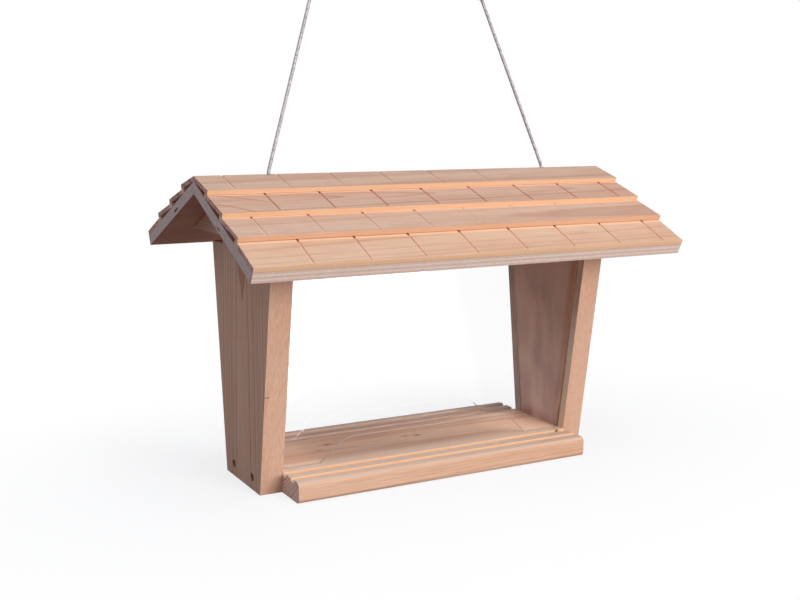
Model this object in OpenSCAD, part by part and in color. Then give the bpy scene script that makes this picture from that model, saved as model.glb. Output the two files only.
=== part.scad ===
// Hanging silo bird feeder in pine and plywood, with two clear panes and a lift-up gable roof.
// Millimetres. The origin is the centre of the underside: +X along the ridge, -Y the front, +Z up.

/* [End walls] */
// Thickness of an end wall
wall_t = 20; // [15:0.5:28]
// Height of an end wall
wall_h = 204; // [170:1:260]
// Depth of an end wall at its foot
wall_foot = 77; // [65:1:90]
// Depth of an end wall at its top
wall_top = 133; // [110:1:170]

/* [Floor board] */
// Length of the floor board, which is the clear space between the walls
floor_l = 292; // [230:1:420]
// Depth of the floor board from nose to nose
floor_d = 147; // [132:1:190]
// Thickness of the floor board
floor_t = 18; // [14:0.5:26]
// Radius of the nose's upper edge
nose_r = 4.5; // [2:0.5:7]
// Radius of the nose's lower edge
under_r = 4; // [1:0.5:5]
// Depth of the quirks worked along each edge, at their middle
quirk_deep = 3.2; // [1.5:0.1:5]
// Width of a quirk
quirk_w = 6.5; // [4:0.5:9]
// How far a quirk's bottom is dished
quirk_dish = 0.9; // [0.4:0.1:1.4]
// From the nose to the riser of the outer quirk
outer_quirk = 16.5; // [15:0.5:20]
// From the nose to the riser of the inner quirk
inner_quirk = 32; // [30:0.5:38]

/* [Panes] */
// Thickness of a pane
pane_t = 2.5; // [2:0.5:4]
// From a wall's edge to the middle of its pane groove
pane_inset = 10; // [7:0.5:14]
// Depth of a pane groove
groove_deep = 5; // [3:0.5:8]
// Free play of a pane in its groove, on each side
pane_play = 0.3; // [0.2:0.05:0.5]
// Height of the feeding gap
arch_h = 21; // [14:0.5:32]
// Width of the foot that a pane stands on at each end
foot_w = 39; // [20:1:60]
// Radius of the rounded shoulders of the feeding gap
arch_r = 23; // [8:1:30]
// Slope of the feeding gap's ends
ramp = 42; // [35:1:60]

/* [Floor screws] */
// Distance between the two screws in a wall
screw_gap = 42; // [24:1:50]
// Height of the screws above the underside
screw_z = 11; // [8:0.5:12]
// Diameter of the screw's shank
screw_d = 3.6; // [3:0.2:4.4]
// Diameter of the screw's head
head_d = 6.4; // [5.5:0.1:7]
// Length of the screw
screw_l = 40; // [30:1:60]
// How deep the head sits below the wall's face
head_sunk = 1.5; // [0.5:0.5:3]

/* [Roof] */
// How far the roof stands out past each wall
roof_over = 39.5; // [20:0.5:70]
// Pitch of the roof
pitch = 24.75; // [20:0.25:30]
// Thickness of the plywood
ply_t = 9.5; // [6:0.5:12]
// Width of a panel along the slope, measured on its upper face
panel_w = 139; // [130:1:170]
// Height of the bearers that the roof stands on
bearer_h = 47.5; // [40:0.5:60]
// Width of a bearer
bearer_w = 84; // [60:1:95]
// Thickness of the gusset outside each bearer
gusset_t = 13; // [8:0.5:18]
// Height of a gusset, from its lower edge to the ridge inside
gusset_h = 36.5; // [28:0.5:45]

/* [Tile boards] */
// Thickness of a board
board_t = 4; // [3:0.25:6]
// Width of a board
board_w = 41; // [39:0.5:46]
// Distance from one board's lower edge to the next
exposure = 35.6; // [33:0.1:37]
// Width of the vee cuts between tiles, on the board's face
kerf_w = 2.2; // [1:0.1:3]
// Depth of the vee cuts
kerf_deep = 1.3; // [0.6:0.1:2]
// Width of a tile
tile_w = 48.7; // [30:0.1:70]
// From the left end to the first cut, on the first and third course
odd_start = 24; // [10:0.5:30]
// From the left end to the first cut, on the second and fourth course
even_start = 49; // [30:0.5:60]
// Length left uncut above a board's lower edge
kerf_stop = 2; // [1:0.5:5]

/* [Cord and fittings] */
// Diameter of the cord
cord_d = 3; // [2:0.1:3.4]
// Diameter of the holes in the ridge
cord_hole = 5; // [4:0.5:8]
// From a wall's inner face to the middle of its screw eye's ring
eye_out = 6; // [6:0.5:12]
// From a wall's top down to its screw eye
eye_down = 11; // [8:0.5:20]
// Diameter of a screw eye's wire
eye_wire = 2.4; // [2:0.1:2.8]
// Radius of a screw eye's ring, to the middle of the wire
eye_r = 4.2; // [4:0.1:4.6]
// Length of a screw eye's shank in the wall
eye_grip = 14; // [8:1:18]
// Length of a ferrule
ferrule_l = 9; // [6:0.5:12]
// Radius of the hanging loop
hang_r = 9; // [6:0.5:12]

/* [Hidden] */
$fn = 48;
fine_fn = 96;
big = 1000;
past = 1;
seat = 0.05;
splay = atan((wall_top - wall_foot) / 2 / wall_h);
wall_x = floor_l / 2;
apex_in = wall_h + bearer_h;
apex = apex_in + ply_t / cos(pitch);
pane_short = 1;
pane_z = floor_t + seat + pane_t / 2 * sin(splay);
pane_w = floor_l + 2 * (groove_deep - pane_play);
pane_h = (wall_h - pane_short - pane_z) / cos(splay);
screw_play = 0.5;
screw_tip = 4;
tip_d = 0.8;
head_t = (head_d - screw_d) / 2;
roof_l = floor_l + 2 * (wall_t + roof_over);
quirk_bend = pow(quirk_w / 2, 2) / 2 / quirk_dish + quirk_dish / 2;
courses = 4;
ridge_spare = 5;
last_tile = 10;
nail_d = 1.8;
nail_head_d = 4;
nail_head_t = 0.8;
nail_l = 30;
nail_places = [16, 36];
cord_x = wall_x - eye_out;
eye_z = wall_h - eye_down;
ferrule_wall = 0.7;
ferrule_t = cord_d + 2 * ferrule_wall;
ferrule_w = 2 * cord_d + 2 * ferrule_wall;
eye_loop_r = 4;
loop_lean = 14;
loop_play = 0.1;
loop_half = cord_d / 2 + loop_play;
loop_steps = 12;
loop_z = eye_z + eye_r - eye_wire / 2 - loop_play - cord_d / 2 + eye_loop_r;
grip_z = loop_z + loop_top(eye_loop_r);
riser_z = grip_z + ferrule_l;
strand_in = 6;
strand_z = apex - strand_in;
tube_sides = 8;

// Route of the right strand from inside its hole in the ridge; the left one is its mirror image
STRAND = [
    [0, 0, 0], [0, 0, 4.5], [0, 0, 9], [-0.1, 0.1, 11], [-0.5, 0.2, 13], [-1.1, 0.6, 15],
    [-3.2, 1.7, 21], [-5.3, 2.8, 27], [-7.4, 3.9, 33], [-9.5, 5, 39], [-11.6, 6.1, 45],
    [-13.7, 7.2, 51], [-15.8, 8.3, 57], [-17.9, 9.4, 63], [-20, 10.5, 69], [-22.1, 11.6, 75],
    [-24.2, 12.7, 81], [-26.3, 13.8, 87], [-28.4, 14.9, 93], [-30.5, 16, 99], [-32.6, 17.1, 105],
    [-34.7, 18.2, 111], [-36.8, 19.3, 117], [-38.9, 20.4, 123], [-41, 21.5, 129], [-43.1, 22.6, 135],
    [-45.2, 23.7, 141], [-47.3, 24.8, 147], [-49.4, 25.9, 153], [-51.5, 27, 159], [-53.6, 28.1, 165]];

// Half the depth of a wall at a height, and the middle of the pane there
function half_depth(z) = wall_foot / 2 + tan(splay) * z;
function pane_y(z) = half_depth(z) - pane_inset;

// Height of a cord loop from its centre to the sleeve
function loop_leg(r) = (r * cos(loop_lean) - loop_half) / tan(loop_lean);
function loop_top(r) = r * sin(loop_lean) + loop_leg(r) + cord_d;

// Route of a cord loop in the X-Z plane: down one leg, round under its centre and up the other
function loop_route(r) = let (z = loop_top(r), a = 180 + 2 * loop_lean) [
    [-loop_half, 0, z], [-loop_half, 0, z - cord_d],
    each [for (k = [0:loop_steps]) let (b = 180 - loop_lean + k * a / loop_steps)
        [r * cos(b), 0, r * sin(b)]],
    [loop_half, 0, z - cord_d], [loop_half, 0, z]];

// Each course's lower edge, down the slope from the ridge
function edge_at(i) = panel_w - (courses - i) * exposure;

// Where a course's upper top corner lies: down the slope from the ridge, and off the panel
function head_s(i) = edge_at(i) - board_w * cos(tilt(i)) - board_t * sin(tilt(i));
function head_n(i) = seat + board_t * cos(tilt(i));

// Tilt of a board that stands on the panel at its upper edge and leans on a corner near its lower one
function lean(rise, lap) = let (t = atan(rise / (board_w - lap))) atan(rise / (board_w * cos(t) - lap));

// The last course lies flat, the others lean on the one below, and the first starts at the ridge
function tilt(i) = i == courses ? 0
    : i == 1 ? atan((head_n(2) + seat) / head_s(2))
    : lean(head_n(i + 1), edge_at(i) - head_s(i + 1));
function lift(i) = i == 1 ? edge_at(1) * tan(tilt(1)) : seat + board_w * sin(tilt(i));

// A tube swept along a route: one ring of points square to the route at each of its points
function unit(v) = v / norm(v);
function heading(r, i) = unit(r[min(i + 1, len(r) - 1)] - r[max(i - 1, 0)]);
function ring(r, i, d) = let (t = heading(r, i), a = unit(cross([0, 1, 0], t)), b = cross(t, a))
    [for (k = [0:tube_sides - 1]) let (turn = 360 * k / tube_sides)
        r[i] + d / 2 * (a * cos(turn) + b * sin(turn))];

module tube(route, d) {
    n = len(route);
    m = tube_sides;
    polyhedron(
        points = [for (i = [0:n - 1]) each ring(route, i, d)],
        faces = concat(
            [[for (k = [0:m - 1]) k]],
            [[for (k = [m - 1:-1:0]) m * (n - 1) + k]],
            [for (i = [0:n - 2], k = [0:m - 1]) [m * i + k, m * i + m + k, m * i + m + (k + 1) % m]],
            [for (i = [0:n - 2], k = [0:m - 1]) [m * i + k, m * i + m + (k + 1) % m, m * i + (k + 1) % m]]));
}

// Turns a profile drawn in Y and Z into a bar along X
module bar(length) {
    rotate([90, 0, 90]) linear_extrude(length, center = true) children();
}

// What is cut away outside a corner rounded to a radius, for the corner at the origin
module corner_waste(r) {
    difference() {
        translate([-r, -r]) square(r + past);
        translate([-r, -r]) circle(r);
    }
}

// Keeps a child and adds its mirror image at the rear
module both_sides() {
    children();
    mirror([0, 1, 0]) children();
}

// Puts a child made for the right end at the left end, or leaves it
module at_end(left) {
    mirror([left ? 1 : 0, 0, 0]) children();
}

// Puts a child made for the front slope on the rear slope, or leaves it
module on_slope(rear) {
    mirror([0, rear ? 1 : 0, 0]) translate([0, 0, apex]) rotate([pitch, 0, 0]) children();
}

module screw(play) {
    rotate([0, -90, 0]) {
        cylinder(d = screw_d + play, h = screw_l - screw_tip);
        translate([0, 0, screw_l - screw_tip]) cylinder(d1 = screw_d + play, d2 = tip_d, h = screw_tip);
        cylinder(d1 = head_d + play, d2 = screw_d + play, h = head_t);
    }
}

module floor_screws(play = 0) {
    for (y = [-screw_gap / 2, screw_gap / 2])
        translate([wall_x + wall_t - head_sunk, y, screw_z]) screw(play);
}

module eye() {
    translate([cord_x, 0, eye_z]) {
        rotate([90, 0, 0]) rotate_extrude() translate([eye_r, 0]) circle(d = eye_wire);
        translate([eye_r, 0, 0]) rotate([0, 90, 0])
            cylinder(d = eye_wire, h = wall_x + eye_grip - cord_x - eye_r);
    }
}

// Cut for a pane in a wall's inner face, from the floor's top to the wall's top
module pane_groove() {
    w = (pane_t + 2 * pane_play) / 2 / cos(splay);
    z1 = wall_h + past;
    translate([wall_x + (groove_deep - past) / 2, 0, 0]) bar(groove_deep + past)
        polygon([
            [-pane_y(floor_t) - w, floor_t], [-pane_y(floor_t) + w, floor_t],
            [-pane_y(z1) + w, z1], [-pane_y(z1) - w, z1]]);
}

module wall() {
    color([0.82, 0.65, 0.52]) difference() {
        translate([wall_x + wall_t / 2, 0, 0]) bar(wall_t)
            polygon([
                [-wall_foot / 2, 0], [wall_foot / 2, 0],
                [wall_top / 2, wall_h], [-wall_top / 2, wall_h]]);
        both_sides() pane_groove();
        floor_screws(screw_play);
        for (y = [-screw_gap / 2, screw_gap / 2])
            translate([wall_x + wall_t - head_sunk, y, screw_z]) rotate([0, 90, 0])
                cylinder(d = head_d + screw_play, h = head_sunk + past);
        translate([wall_x - past, 0, eye_z]) rotate([0, 90, 0]) cylinder(d = eye_wire, h = eye_grip + past);
    }
}

// Groove with upright sides and a dished bottom, cut down from the floor's top
module quirk() {
    translate([0, floor_t - quirk_deep + quirk_dish]) square([quirk_w, quirk_deep - quirk_dish + past]);
    intersection() {
        translate([0, floor_t - quirk_deep]) square([quirk_w, quirk_deep]);
        translate([quirk_w / 2, floor_t - quirk_deep + quirk_bend]) circle(quirk_bend, $fn = fine_fn);
    }
}

module floor_profile() {
    half = floor_d / 2;
    difference() {
        translate([-half, 0]) square([floor_d, floor_t]);
        for (side = [-1, 1]) scale([side, 1]) {
            translate([half, floor_t]) corner_waste(nose_r);
            translate([half, 0]) scale([1, -1]) corner_waste(under_r);
            for (riser = [half - outer_quirk, half - inner_quirk]) translate([riser, 0]) quirk();
        }
    }
}

module floor_board() {
    color([0.84, 0.68, 0.54]) difference() {
        bar(floor_l) floor_profile();
        floor_screws();
        mirror([1, 0, 0]) floor_screws();
    }
}

// Feeding gap in a pane, in the pane's own plane
module arch() {
    corner_x = wall_x - foot_w;
    flat_x = corner_x - arch_r * sin(ramp) - (arch_h - arch_r + arch_r * cos(ramp)) / tan(ramp);
    for (side = [-1, 1]) scale([side, 1]) {
        translate([flat_x, arch_h - arch_r]) circle(arch_r, $fn = fine_fn);
        polygon([
            [0, -past], [corner_x + past / tan(ramp), -past],
            [flat_x + arch_r * sin(ramp), arch_h - arch_r + arch_r * cos(ramp)],
            [flat_x, arch_h - arch_r / 2], [flat_x, arch_h], [0, arch_h]]);
    }
}

module pane() {
    color([0.8, 0.9, 0.95, 0.35]) translate([0, -pane_y(pane_z), pane_z]) rotate([90 + splay, 0, 0])
        linear_extrude(pane_t, center = true) difference() {
            translate([-pane_w / 2, 0]) square([pane_w, pane_h]);
            arch();
        }
}

module bearer() {
    w = bearer_w / 2;
    color([0.80, 0.62, 0.48]) difference() {
        translate([wall_x + wall_t / 2, 0, 0]) bar(wall_t)
            polygon([
                [-w, wall_h], [w, wall_h], [w, apex_in - w * tan(pitch)],
                [0, apex_in], [-w, apex_in - w * tan(pitch)]]);
        roof_nails();
    }
}

// Triangle under the ridge that ties the two panels, outside the bearer
module gusset() {
    w = gusset_h / tan(pitch);
    color([0.80, 0.62, 0.48]) translate([wall_x + wall_t + gusset_t / 2, 0, 0]) bar(gusset_t)
        polygon([[-w, apex_in - gusset_h], [w, apex_in - gusset_h], [0, apex_in]]);
}

module roof_nails(proud = 0) {
    for (rear = [false, true], s = nail_places) on_slope(rear)
        translate([wall_x + wall_t / 2, -s, 0]) {
            translate([0, 0, -nail_l]) cylinder(d = nail_d, h = nail_l);
            translate([0, 0, -nail_head_t]) cylinder(d = nail_head_d, h = nail_head_t + proud);
        }
}

module cord_holes() {
    for (x = [-cord_x, cord_x])
        translate([x, 0, 0]) cylinder(d = cord_hole, h = big);
}

module roof_panel(rear) {
    eave_y = -panel_w * cos(pitch);
    eave_z = apex - panel_w * sin(pitch);
    color([0.78, 0.70, 0.62]) difference() {
        mirror([0, rear ? 1 : 0, 0]) bar(roof_l)
            polygon([
                [0, apex], [0, apex_in],
                [eave_y + ply_t * sin(pitch), eave_z - ply_t * cos(pitch)], [eave_y, eave_z]]);
        cord_holes();
        roof_nails(past);
        mirror([1, 0, 0]) roof_nails(past);
    }
}

// Vee cut in a board's face, running up the slope from the origin
module vee_cut(length) {
    half = kerf_w / 2 * (1 + past / kerf_deep);
    translate([0, length, 0]) rotate([90, 0, 0]) linear_extrude(length)
        polygon([[-half, past], [half, past], [0, -kerf_deep]]);
}

// A board of the tile pattern: i counts the courses down from the ridge
module course(i, rear) {
    start = i % 2 == 1 ? odd_start : even_start;
    cuts = floor((roof_l - start - last_tile) / tile_w);
    w = i == 1 ? edge_at(1) / cos(tilt(1)) + ridge_spare : board_w;
    color([0.86, 0.72, 0.60]) difference() {
        on_slope(rear) translate([0, -edge_at(i), lift(i)]) rotate([-tilt(i), 0, 0]) difference() {
            translate([-roof_l / 2, 0, 0]) cube([roof_l, w, board_t]);
            for (k = [0:cuts]) translate([start + k * tile_w - roof_l / 2, kerf_stop, board_t]) vee_cut(w);
        }
        if (i == 1) {
            translate([-big / 2, rear ? -big : 0, 0]) cube([big, big, big]);
            cord_holes();
        }
    }
}

// A pressed sleeve with rounded sides, standing on the origin, wide along X
module ferrule() {
    w = ferrule_w - ferrule_t;
    color([0.75, 0.76, 0.78]) union() {
        for (side = [-1, 1]) translate([side * w / 2, 0, 0]) cylinder(d = ferrule_t, h = ferrule_l);
        translate([-w / 2, -ferrule_t / 2, 0]) cube([w, ferrule_t, ferrule_l]);
    }
}

// Moves the strand's route to the hole in the ridge
module at_ridge() {
    translate([cord_x, 0, strand_z]) children();
}

// Lines a child up with the end of the strand
module at_strand_end() {
    n = len(STRAND);
    t = unit(STRAND[n - 1] - STRAND[n - 2]);
    at_ridge() translate(STRAND[n - 1]) rotate([0, acos(t[2]), atan2(t[1], t[0])]) children();
}

module eye_loop() {
    color([0.45, 0.44, 0.46]) translate([cord_x, 0, loop_z]) rotate([0, 0, 90])
        tube(loop_route(eye_loop_r), cord_d);
}

module eye_ferrule() {
    translate([cord_x, 0, grip_z]) rotate([0, 0, 90]) ferrule();
}

module hang_ferrule() {
    at_strand_end() ferrule();
}

module hang_loop() {
    color([0.45, 0.44, 0.46]) at_strand_end()
        translate([0, 0, ferrule_l + loop_top(hang_r)]) mirror([0, 0, 1]) tube(loop_route(hang_r), cord_d);
}

module cord_riser() {
    color([0.45, 0.44, 0.46]) translate([cord_x, 0, riser_z]) cylinder(d = cord_d, h = strand_z - riser_z);
}

module cord_strand() {
    color([0.45, 0.44, 0.46]) at_ridge() tube(STRAND, cord_d);
}

module floor_screw_pair() {
    color([0.55, 0.55, 0.57]) floor_screws();
}

module screw_eye() {
    color([0.72, 0.72, 0.74]) eye();
}

module nails() {
    color([0.6, 0.6, 0.62]) roof_nails();
}

at_end(true) wall();  // left_wall
at_end(false) wall();  // right_wall
floor_board();
pane();  // front_pane
mirror([0, 1, 0]) pane();  // rear_pane
at_end(true) floor_screw_pair();  // left_floor_screws
at_end(false) floor_screw_pair();  // right_floor_screws
at_end(true) screw_eye();  // left_screw_eye
at_end(false) screw_eye();  // right_screw_eye
at_end(true) bearer();  // left_roof_bearer
at_end(false) bearer();  // right_roof_bearer
at_end(true) gusset();  // left_roof_gusset
at_end(false) gusset();  // right_roof_gusset
roof_panel(false);  // front_roof_panel
roof_panel(true);  // rear_roof_panel
at_end(true) nails();  // left_roof_nails
at_end(false) nails();  // right_roof_nails
course(1, false);  // front_course_1
course(2, false);  // front_course_2
course(3, false);  // front_course_3
course(4, false);  // front_course_4
course(1, true);  // rear_course_1
course(2, true);  // rear_course_2
course(3, true);  // rear_course_3
course(4, true);  // rear_course_4
at_end(true) eye_loop();  // left_eye_loop
at_end(false) eye_loop();  // right_eye_loop
at_end(true) eye_ferrule();  // left_eye_ferrule
at_end(false) eye_ferrule();  // right_eye_ferrule
at_end(true) cord_riser();  // left_cord_riser
at_end(false) cord_riser();  // right_cord_riser
at_end(true) cord_strand();  // left_cord_strand
at_end(false) cord_strand();  // right_cord_strand
at_end(true) hang_ferrule();  // left_hang_ferrule
at_end(false) hang_ferrule();  // right_hang_ferrule
at_end(true) hang_loop();  // left_hang_loop
at_end(false) hang_loop();  // right_hang_loop
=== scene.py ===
"""A hanging silo bird feeder: pine end walls and floor, clear panes, a tiled gable roof and steel cords."""
import math

import bpy
from mathutils import Euler, Matrix, Vector


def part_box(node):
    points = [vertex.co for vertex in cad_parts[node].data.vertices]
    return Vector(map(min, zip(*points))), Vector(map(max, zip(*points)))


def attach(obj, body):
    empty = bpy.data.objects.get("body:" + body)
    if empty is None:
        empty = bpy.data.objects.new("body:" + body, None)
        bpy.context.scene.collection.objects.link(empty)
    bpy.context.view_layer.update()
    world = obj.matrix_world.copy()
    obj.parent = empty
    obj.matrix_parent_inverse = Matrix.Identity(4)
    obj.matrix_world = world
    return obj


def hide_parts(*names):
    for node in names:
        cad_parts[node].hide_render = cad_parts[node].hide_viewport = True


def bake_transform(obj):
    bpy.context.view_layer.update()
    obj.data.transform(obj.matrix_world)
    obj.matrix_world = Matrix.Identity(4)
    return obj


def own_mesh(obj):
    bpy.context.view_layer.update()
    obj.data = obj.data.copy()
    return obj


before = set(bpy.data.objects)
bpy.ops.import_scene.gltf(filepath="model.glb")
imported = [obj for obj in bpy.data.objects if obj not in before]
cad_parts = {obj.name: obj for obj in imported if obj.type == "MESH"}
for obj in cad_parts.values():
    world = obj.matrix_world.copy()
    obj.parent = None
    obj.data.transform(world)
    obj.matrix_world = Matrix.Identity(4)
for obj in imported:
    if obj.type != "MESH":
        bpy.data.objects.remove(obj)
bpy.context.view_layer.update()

MM = 0.001
LEFT, RIGHT = -1, 1
FRONT, REAR = -1, 1
SIDES = {"left": LEFT, "right": RIGHT}
SLOPES = {"front": FRONT, "rear": REAR}

# The roof's pitch, the thickness and plies of its panels, and the courses of boards on each slope
PITCH = math.radians(24.75)
PLY_T = 9.5
PLIES = 5
COURSES = 4

# The roof's half length, the end walls' middle and the screws' places in them, in millimetres
HALF_ROOF = 205.5
WALL_MIDDLE = 156
SCREW_ACROSS, SCREW_UP = 21, 11
SCREW_HOLE_R = 3.45
HEAD_X = 164.5

# The lapped boards, in millimetres, and how near to a cut's floor its points lie
BOARD_T = 4
CUT_DEEP = 1.3
CUT_WITHIN = 0.5

# How far edges are eased
WALL_EASE = 0.6 * MM
FLOOR_EASE = 0.4 * MM
BEARER_EASE = 0.4 * MM
PANEL_EASE = 0.25 * MM
SLEEVE_EASE = 0.25 * MM
BOARD_EASE = 0.15 * MM
PANE_EASE = 0.1 * MM

# A copied mesh: points nearer than this become one, and so do faces whose slopes are this near
MERGE_GAP = 0.002 * MM
FLAT_WITHIN = math.radians(0.5)


# Camera: its place in metres, its turns in degrees, and its lens and sensor in millimetres

CAMERA_PLACE = (-0.5221, -0.9169, 0.3345)
CAMERA_YAW = 29.0768
CAMERA_DOWN = 10.0224
CAMERA_ROLL = 0.6425
CAMERA_LENS = 52.7615
CAMERA_SENSOR = 36


def add_camera():
    bpy.ops.object.camera_add(location=CAMERA_PLACE)
    camera = bpy.context.object
    camera.name = "camera"
    camera.data.lens = CAMERA_LENS
    camera.data.sensor_width = CAMERA_SENSOR
    turn = Euler((math.radians(90 - CAMERA_DOWN), 0, math.radians(-CAMERA_YAW))).to_matrix()
    turn = turn @ Matrix.Rotation(math.radians(CAMERA_ROLL), 3, "Z")
    camera.rotation_euler = turn.to_euler()
    bpy.context.scene.camera = camera


# Hand tools

def deselect():
    bpy.ops.object.select_all(action="DESELECT")


def pick(obj):
    """Makes one object the selected and active one."""
    deselect()
    obj.select_set(True)
    bpy.context.view_layer.objects.active = obj


def set_place(obj):
    """Puts an object's place into its mesh."""
    pick(obj)
    bpy.ops.object.transform_apply(location=True, rotation=True, scale=True)


def use_modifiers(obj):
    """Applies an object's modifiers, first to last."""
    pick(obj)
    for name in [m.name for m in obj.modifiers]:
        bpy.ops.object.modifier_apply(modifier=name)


def bevel(obj, width, segments, angle=30):
    made = obj.modifiers.new("edges", "BEVEL")
    made.width = width
    made.segments = segments
    made.limit_method = "ANGLE"
    made.angle_limit = math.radians(angle)
    use_modifiers(obj)


def smooth(obj, angle):
    pick(obj)
    bpy.ops.object.shade_smooth_by_angle(angle=math.radians(angle))


def keep_flat(obj):
    """Lets an eased edge turn the light while the flat faces beside it stay flat."""
    made = obj.modifiers.new("flat_faces", "WEIGHTED_NORMAL")
    made.mode = "FACE_AREA"
    made.weight = 100
    made.keep_sharp = True
    use_modifiers(obj)


def cut_away(obj, tool):
    """Cuts one closed mesh out of another, and removes the tool."""
    made = obj.modifiers.new("cut", "BOOLEAN")
    made.operation = "DIFFERENCE"
    made.object = tool
    use_modifiers(obj)
    bpy.data.objects.remove(tool)


def copy_node(node):
    """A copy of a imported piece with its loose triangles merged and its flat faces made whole."""
    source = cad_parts[node]
    made = bpy.data.objects.new(node + "_finish", source.data.copy())
    bpy.context.collection.objects.link(made)
    made.data.materials.clear()
    pick(made)
    bpy.ops.object.mode_set(mode="EDIT")
    bpy.ops.mesh.select_all(action="SELECT")
    bpy.ops.mesh.remove_doubles(threshold=MERGE_GAP)
    bpy.ops.mesh.dissolve_limited(angle_limit=FLAT_WITHIN)
    bpy.ops.mesh.normals_make_consistent(inside=False)
    bpy.ops.object.mode_set(mode="OBJECT")
    return made


def dress(obj, material, body, slot, *nodes):
    """Gives a finished piece its material and body, and hides the nodes that it stands for; slot is not
    used.
    """
    obj.data.materials.clear()
    obj.data.materials.append(material)
    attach(obj, body)
    if nodes:
        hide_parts(*nodes)
    return obj


def paint(node, material):
    """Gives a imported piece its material."""
    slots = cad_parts[node].material_slots
    for slot in slots:
        slot.material = material
    if not slots:
        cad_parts[node].data.materials.append(material)


def middle_of(node):
    low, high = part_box(node)
    return (low + high) / 2


# Shader maths

class Value:
    """A shader socket that Python's operators work on: each one adds its Math node."""

    def __init__(self, finish, socket):
        self.finish = finish
        self.socket = socket

    def maths(self, operation, *terms):
        return self.finish.node("ShaderNodeMath", {"operation": operation}, dict(enumerate(terms)))

    def __add__(self, other):
        return self.maths("ADD", self, other)

    def __radd__(self, other):
        return self.maths("ADD", other, self)

    def __sub__(self, other):
        return self.maths("SUBTRACT", self, other)

    def __rsub__(self, other):
        return self.maths("SUBTRACT", other, self)

    def __mul__(self, other):
        return self.maths("MULTIPLY", self, other)

    def __rmul__(self, other):
        return self.maths("MULTIPLY", other, self)

    def __truediv__(self, other):
        return self.maths("DIVIDE", self, other)

    def __abs__(self):
        return self.maths("ABSOLUTE", self)

    def part(self):
        """What is left of a value past its last whole number."""
        return self.maths("FRACT", self)

    def whole(self):
        return self.maths("FLOOR", self)

    def most(self, other):
        return self.maths("MAXIMUM", self, other)


class Finish:
    """A material in the making."""

    def __init__(self, name, owner=None):
        self.material = owner or bpy.data.materials.new(name)
        self.material.use_nodes = True
        self.tree = self.material.node_tree
        self.tree.nodes.clear()

    def node(self, kind, settings, inputs, out=0):
        """Adds a node: its settings first, then the values or links of its sockets."""
        made = self.tree.nodes.new(kind)
        for key, value in settings.items():
            if key == "stops":
                set_stops(made.color_ramp, value)
            else:
                setattr(made, key, value)
        for key, value in inputs.items():
            socket = made.inputs[key]
            if isinstance(value, Value):
                self.tree.links.new(value.socket, socket)
            else:
                socket.default_value = value
        return Value(self, made.outputs[out]) if made.outputs else None

    def place(self):
        """Where a point lies, in the frame of the whole feeder."""
        return self.node("ShaderNodeTexCoord", {}, {}, "Object")

    def facing(self, direction):
        """How nearly a face looks in a direction of the whole feeder: 1 for straight that way."""
        normal = self.node("ShaderNodeTexCoord", {}, {}, "Normal")
        settings = {"operation": "DOT_PRODUCT"}
        return self.node("ShaderNodeVectorMath", settings, {0: normal, 1: direction}, "Value")

    def on_board(self, origin, turn):
        """A point in millimetres from a board's origin, turned to run along its grain."""
        return self.node("ShaderNodeMapping", {"vector_type": "TEXTURE"}, {
            "Vector": self.place(), "Location": origin, "Rotation": turn, "Scale": (MM, MM, MM)})

    def vector(self, x, y=0.0):
        return self.node("ShaderNodeCombineXYZ", {}, {0: x, 1: y})

    def stretch(self, point, factors):
        return self.node("ShaderNodeVectorMath", {"operation": "MULTIPLY"}, {0: point, 1: factors})

    def shift(self, point, by):
        return self.node("ShaderNodeVectorMath", {"operation": "SUBTRACT"}, {0: point, 1: by})

    def split(self, vector):
        made = self.node("ShaderNodeSeparateXYZ", {}, {0: vector}).socket.node
        return [Value(self, socket) for socket in made.outputs]

    def length(self, vector):
        return self.node("ShaderNodeVectorMath", {"operation": "LENGTH"}, {0: vector}, "Value")

    def noise(self, point, factors, detail, roughness=0.5):
        """Noise from 0 to 1, as fine along each direction as its factor."""
        return self.node("ShaderNodeTexNoise", {}, {
            "Vector": self.stretch(point, factors), "Scale": 1.0, "Detail": detail, "Roughness": roughness})

    def chance(self, value):
        """A random number that stays the same for the same value."""
        return self.node("ShaderNodeTexWhiteNoise", {"noise_dimensions": "1D"}, {"W": value}, "Value")

    def ramp(self, value, *stops):
        """A value passed through a curve given by its stops."""
        return self.node("ShaderNodeValToRGB", {"stops": stops}, {0: value})

    def step(self, value, low, high):
        """0 below low and 1 above high, with a smooth rise between them."""
        return self.node("ShaderNodeMapRange", {"interpolation_type": "SMOOTHSTEP"}, {
            "Value": value, "From Min": low, "From Max": high})

    def mix(self, share, first, second):
        """Two colours mixed, with share as the second one's part."""
        return self.node("ShaderNodeMix", {"data_type": "RGBA"}, {0: share, 6: first, 7: second}, 2)

    def tint(self, share, first, second):
        """A colour multiplied by a second one, as far as share says."""
        settings = {"data_type": "RGBA", "blend_type": "MULTIPLY"}
        return self.node("ShaderNodeMix", settings, {0: share, 6: first, 7: second}, 2)

    def bump(self, height, distance, strength):
        heights = {"Height": height, "Distance": distance, "Strength": strength}
        return self.node("ShaderNodeBump", {}, heights)

    def surface(self, **inputs):
        """Ends the material in one Principled shader and returns the material."""
        named = {key.replace("_", " "): value for key, value in inputs.items()}
        return self.end(self.node("ShaderNodeBsdfPrincipled", {}, named))

    def end(self, shader):
        self.node("ShaderNodeOutputMaterial", {}, {"Surface": shader})
        return self.material


def set_stops(ramp, stops):
    """Gives a colour ramp its stops: places with a grey level or a colour."""
    while len(ramp.elements) < len(stops):
        ramp.elements.new(0.5)
    for element, (place, colour) in zip(ramp.elements, stops):
        element.position = place
        element.color = colour if isinstance(colour, tuple) else (colour, colour, colour, 1)


def rgb(red, green, blue):
    """A colour given from 0 to 255, as a shader takes it."""
    def linear(level):
        level /= 255
        return level / 12.92 if level <= 0.04045 else ((level + 0.055) / 1.055) ** 2.4
    return (linear(red), linear(green), linear(blue), 1)


# Timber: board axes in millimetres, with the grain along the first one

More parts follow.
